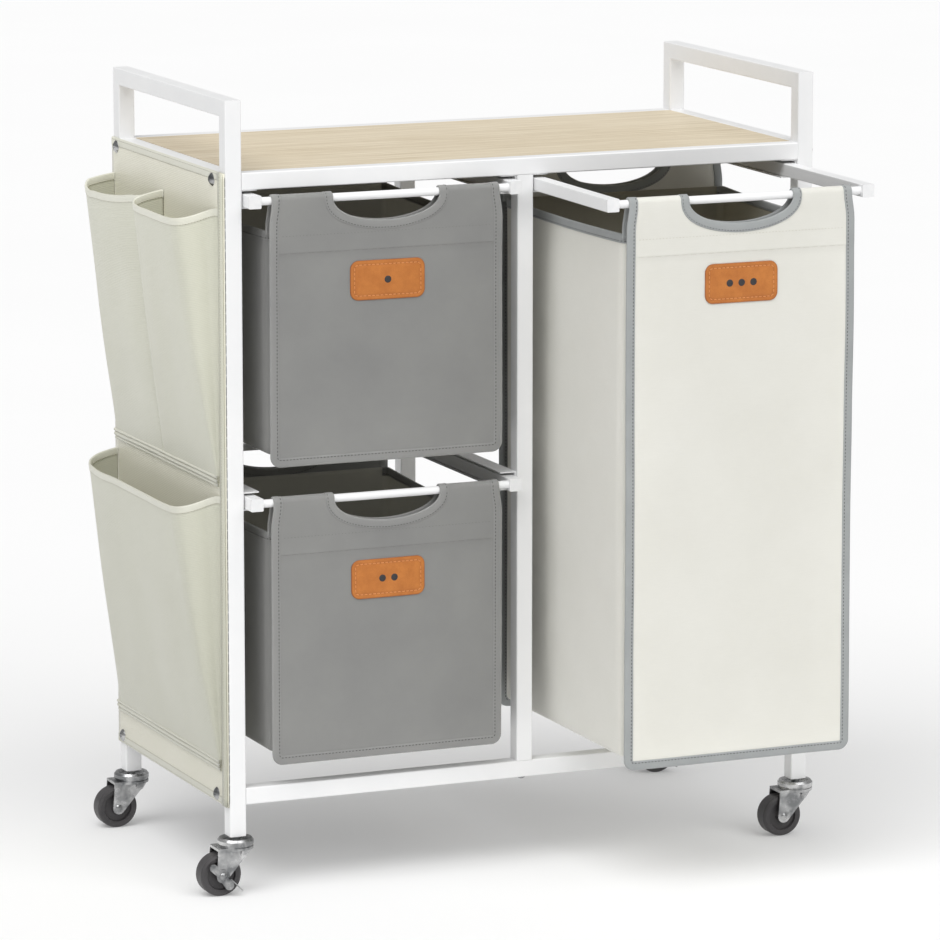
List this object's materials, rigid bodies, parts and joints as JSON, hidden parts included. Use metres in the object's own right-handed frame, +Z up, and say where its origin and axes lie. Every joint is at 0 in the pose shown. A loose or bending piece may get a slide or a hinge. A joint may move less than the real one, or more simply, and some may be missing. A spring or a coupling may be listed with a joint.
{
  "type": "laundry sorter cart",
  "caption": "Rolling laundry sorter: steel frame with a wood shelf, pull-out fabric bags on rails, a side pocket organizer and swivel casters.",
  "frame": {"origin": "on the floor, under the middle of the whole box with the tall bag pulled out", "axes": "+X along the shelf from the organizer side to the tall bag, -Y is the front that the bags pull out of, +Z up"},
  "size_m": [0.7982, 0.5896, 0.9275],
  "materials": {
    "white_steel": "white powder coat, fine satin texture",
    "oak_board": "pale oak decor board, matt",
    "grey_fabric": "grey coated polyester weave",
    "cream_fabric": "cream coated polyester weave with grey binding",
    "canvas_fabric": "cream twill, stitched hems",
    "tan_leather": "tan leather patch, fine grain",
    "zinc": "bright zinc-plated pressed steel",
    "wheel_rubber": "dark grey moulded wheel, satin",
    "white_plastic": "white moulded plastic"
  },
  "bodies": {
    "frame": {"left_front_leg": "white_steel", "left_back_leg": "white_steel", "left_handle_bar": "white_steel", "left_top_rail": "white_steel", "left_bottom_rail": "white_steel", "right_front_leg": "white_steel", "right_back_leg": "white_steel", "right_handle_bar": "white_steel", "right_top_rail": "white_steel", "right_bottom_rail": "white_steel", "front_top_rail": "white_steel", "front_bottom_rail": "white_steel", "front_middle_post": "white_steel", "back_top_rail": "white_steel", "back_bottom_rail": "white_steel", "back_middle_post": "white_steel", "shelf_board": "oak_board", "shelf_tabs": "white_steel", "frame_bolts": "zinc", "upper_slide_channels": "white_steel", "lower_slide_channels": "white_steel", "tall_slide_channels": "white_steel", "organizer_panel": "canvas_fabric", "back_upper_pocket": "canvas_fabric", "front_upper_pocket": "canvas_fabric", "lower_pocket": "canvas_fabric", "organizer_screws": "zinc", "caster_stems": "zinc"},
    "upper_drawer": {"upper_bag_rails": "white_steel", "upper_bag_rods": "white_steel", "upper_rail_caps": "white_plastic", "upper_bag": "grey_fabric", "upper_bag_flap": "grey_fabric", "upper_label": "tan_leather"},
    "lower_drawer": {"lower_bag_rails": "white_steel", "lower_bag_rods": "white_steel", "lower_rail_caps": "white_plastic", "lower_bag": "grey_fabric", "lower_bag_flap": "grey_fabric", "lower_label": "tan_leather"},
    "tall_drawer": {"tall_bag_rails": "white_steel", "tall_bag_rods": "white_steel", "tall_rail_caps": "white_plastic", "tall_bag": "cream_fabric", "tall_bag_flap": "cream_fabric", "tall_label": "tan_leather"},
    "front_left_swivel": {"front_left_fork": "zinc", "front_left_axle": "zinc"},
    "front_left_roller": {"front_left_wheel": "wheel_rubber"},
    "front_left_brake": {"front_left_brake_lever": "zinc"},
    "front_right_swivel": {"front_right_fork": "zinc", "front_right_axle": "zinc"},
    "front_right_roller": {"front_right_wheel": "wheel_rubber"},
    "back_left_swivel": {"back_left_fork": "zinc", "back_left_axle": "zinc"},
    "back_left_roller": {"back_left_wheel": "wheel_rubber"},
    "back_right_swivel": {"back_right_fork": "zinc", "back_right_axle": "zinc"},
    "back_right_roller": {"back_right_wheel": "wheel_rubber"},
    "back_right_brake": {"back_right_brake_lever": "zinc"}
  },
  "joints": [
    {"name": "upper_drawer_slide", "type": "slide", "parent": "frame", "child": "upper_drawer", "axis": [0, -1, 0], "range_m": [0, 0.25]},
    {"name": "lower_drawer_slide", "type": "slide", "parent": "frame", "child": "lower_drawer", "axis": [0, -1, 0], "range_m": [0, 0.25]},
    {"name": "tall_drawer_slide", "type": "slide", "parent": "frame", "child": "tall_drawer", "axis": [0, -1, 0], "range_m": [-0.184, 0.066]},
    {"name": "front_left_swivel_turn", "type": "hinge", "parent": "frame", "child": "front_left_swivel", "pos_m": [-0.3471, -0.08238, 0.06], "axis": [0, 0, 1], "continuous": true},
    {"name": "front_left_wheel_spin", "type": "hinge", "parent": "front_left_swivel", "child": "front_left_roller", "pos_m": [-0.3686, -0.08238, 0.025], "axis": [0, 1, 0], "continuous": true},
    {"name": "front_left_brake_press", "type": "hinge", "parent": "front_left_swivel", "child": "front_left_brake", "pos_m": [-0.3686, -0.09838, 0.025], "axis": [0, 1, 0], "range_deg": [-25, 0]},
    {"name": "front_right_swivel_turn", "type": "hinge", "parent": "frame", "child": "front_right_swivel", "pos_m": [0.3779, -0.08238, 0.06], "axis": [0, 0, 1], "continuous": true},
    {"name": "front_right_wheel_spin", "type": "hinge", "parent": "front_right_swivel", "child": "front_right_roller", "pos_m": [0.3564, -0.08238, 0.025], "axis": [0, 1, 0], "continuous": true},
    {"name": "back_left_swivel_turn", "type": "hinge", "parent": "frame", "child": "back_left_swivel", "pos_m": [-0.3471, 0.27363, 0.06], "axis": [0, 0, 1], "continuous": true},
    {"name": "back_left_wheel_spin", "type": "hinge", "parent": "back_left_swivel", "child": "back_left_roller", "pos_m": [-0.3686, 0.27363, 0.025], "axis": [0, 1, 0], "continuous": true},
    {"name": "back_right_swivel_turn", "type": "hinge", "parent": "frame", "child": "back_right_swivel", "pos_m": [0.3779, 0.27363, 0.06], "axis": [0, 0, 1], "continuous": true},
    {"name": "back_right_wheel_spin", "type": "hinge", "parent": "back_right_swivel", "child": "back_right_roller", "pos_m": [0.3564, 0.27363, 0.025], "axis": [0, 1, 0], "continuous": true},
    {"name": "back_right_brake_press", "type": "hinge", "parent": "back_right_swivel", "child": "back_right_brake", "pos_m": [0.3564, 0.25762, 0.025], "axis": [0, 1, 0], "range_deg": [-25, 0]}
  ]
}
